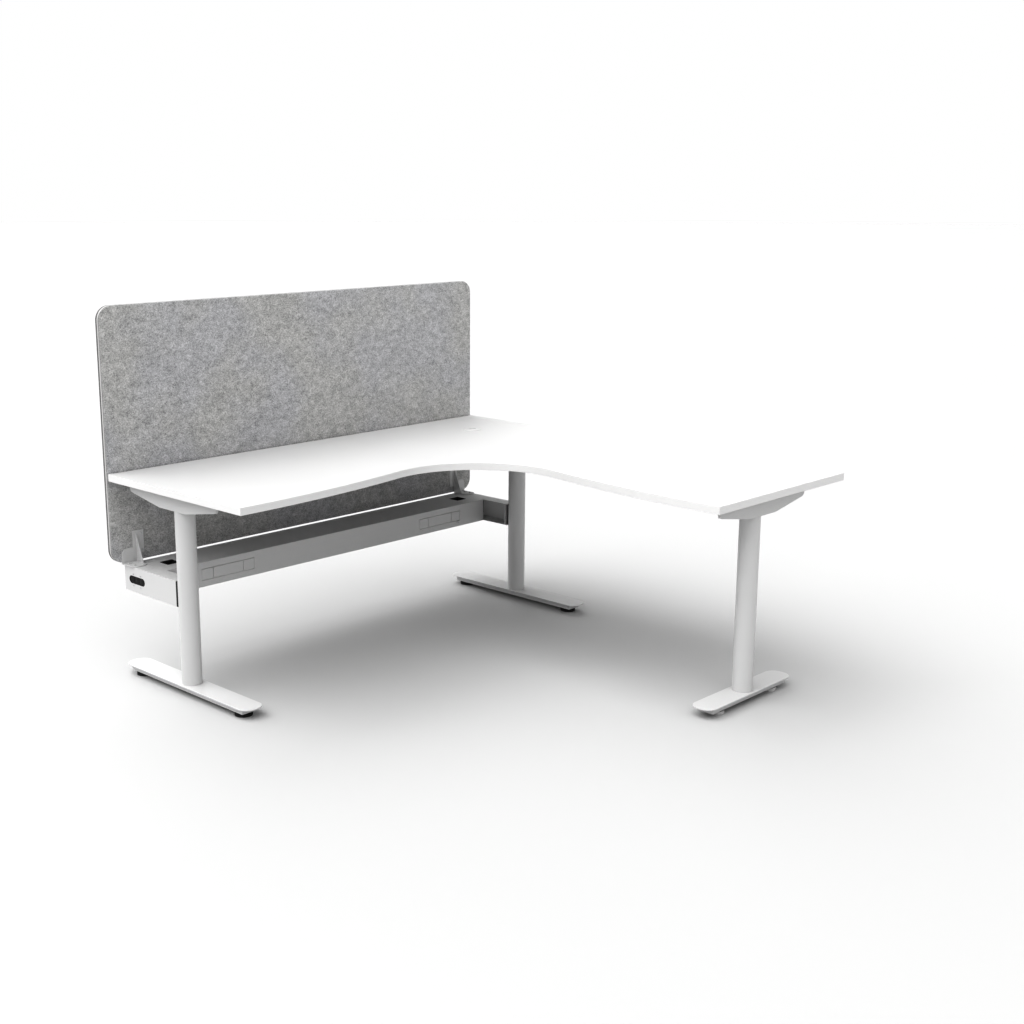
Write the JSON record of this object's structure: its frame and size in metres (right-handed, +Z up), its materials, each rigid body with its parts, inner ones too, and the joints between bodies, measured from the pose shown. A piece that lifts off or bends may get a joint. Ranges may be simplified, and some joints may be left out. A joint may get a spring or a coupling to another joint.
{
  "type": "corner workstation",
  "caption": "L-shaped desk with a curved-front worktop on round legs with T-feet, a cable beam between the back legs and a felt screen standing on the beam.",
  "frame": {"origin": "middle of the footprint's bounding box, on the floor", "axes": "+X along the screen from the left leg to the corner leg, +Y from the user towards the screen, +Z up; the wing runs from the corner towards -Y"},
  "size_m": [1.8, 1.829, 1.305],
  "materials": {
    "white_melamine": "matt white melamine-faced board",
    "white_edging": "matt white edging",
    "white_plastic": "matt white moulded plastic",
    "pale_plastic": "matt pale grey plastic",
    "black_plastic": "matt black plastic",
    "black_rubber": "matt black rubber",
    "white_powder_coat": "satin white powder coat",
    "zinc_steel": "zinc-plated steel",
    "grey_felt": "mottled light grey felt",
    "white_board": "off-white board edge"
  },
  "bodies": {
    "desk": {"beam_arm_corner": "white_powder_coat", "beam_arm_left": "white_powder_coat", "beam_rivet": "zinc_steel", "beam_splices": "white_powder_coat", "bracket_bolts": "zinc_steel", "bracket_nuts": "zinc_steel", "bracket_screws": "zinc_steel", "cable_beam": "white_powder_coat", "column_bolts": "zinc_steel", "column_corner": "white_powder_coat", "column_end_plates": "white_powder_coat", "column_left": "white_powder_coat", "column_wing": "white_powder_coat", "edge_band": "white_edging", "foot_channel_corner": "white_powder_coat", "foot_channel_left": "white_powder_coat", "foot_channel_wing": "white_powder_coat", "foot_plate_corner": "white_powder_coat", "foot_plate_left": "white_powder_coat", "foot_plate_wing": "white_powder_coat", "glide_nuts": "zinc_steel", "grommet_ring": "white_plastic", "knockouts_left": "white_powder_coat", "knockouts_right": "white_powder_coat", "main_rail": "white_powder_coat", "port_insert_corner": "black_plastic", "port_insert_left": "black_plastic", "port_screws": "zinc_steel", "rail_bolts": "zinc_steel", "rail_end_plates": "white_powder_coat", "rail_nuts": "zinc_steel", "saddle_bolts": "zinc_steel", "saddle_corner": "black_plastic", "saddle_left": "black_plastic", "saddle_nut_bars": "zinc_steel", "screen_back_felt": "grey_felt", "screen_board": "white_board", "screen_bracket_corner": "white_powder_coat", "screen_bracket_left": "white_powder_coat", "screen_front_felt": "grey_felt", "splice_bolts": "zinc_steel", "support_arm_corner": "white_powder_coat", "support_arm_left": "white_powder_coat", "support_arm_wing": "white_powder_coat", "wing_rail": "white_powder_coat", "worktop": "white_melamine", "worktop_screws": "zinc_steel"},
    "glide_left_back": {"glide_pad_left_back": "black_rubber", "glide_stem_left_back": "zinc_steel"},
    "glide_left_front": {"glide_pad_left_front": "black_rubber", "glide_stem_left_front": "zinc_steel"},
    "glide_corner_back": {"glide_pad_corner_back": "black_rubber", "glide_stem_corner_back": "zinc_steel"},
    "glide_corner_front": {"glide_pad_corner_front": "black_rubber", "glide_stem_corner_front": "zinc_steel"},
    "glide_wing_back": {"glide_pad_wing_back": "pale_plastic", "glide_stem_wing_back": "zinc_steel"},
    "glide_wing_front": {"glide_pad_wing_front": "pale_plastic", "glide_stem_wing_front": "zinc_steel"},
    "grommet_cap": {"grommet_cap": "white_plastic"}
  },
  "joints": [
    {"name": "glide_left_back_screw", "type": "slide", "parent": "desk", "child": "glide_left_back", "axis": [0, 0, -1], "range_m": [0, 0.008]},
    {"name": "glide_left_front_screw", "type": "slide", "parent": "desk", "child": "glide_left_front", "axis": [0, 0, -1], "range_m": [0, 0.008]},
    {"name": "glide_corner_back_screw", "type": "slide", "parent": "desk", "child": "glide_corner_back", "axis": [0, 0, -1], "range_m": [0, 0.008]},
    {"name": "glide_corner_front_screw", "type": "slide", "parent": "desk", "child": "glide_corner_front", "axis": [0, 0, -1], "range_m": [0, 0.008]},
    {"name": "glide_wing_back_screw", "type": "slide", "parent": "desk", "child": "glide_wing_back", "axis": [0, 0, -1], "range_m": [0, 0.008]},
    {"name": "glide_wing_front_screw", "type": "slide", "parent": "desk", "child": "glide_wing_front", "axis": [0, 0, -1], "range_m": [0, 0.008]},
    {"name": "grommet_cap_turn", "type": "hinge", "parent": "desk", "child": "grommet_cap", "pos_m": [0.64, 0.6255, 0.73], "axis": [0, 0, 1], "continuous": true}
  ]
}
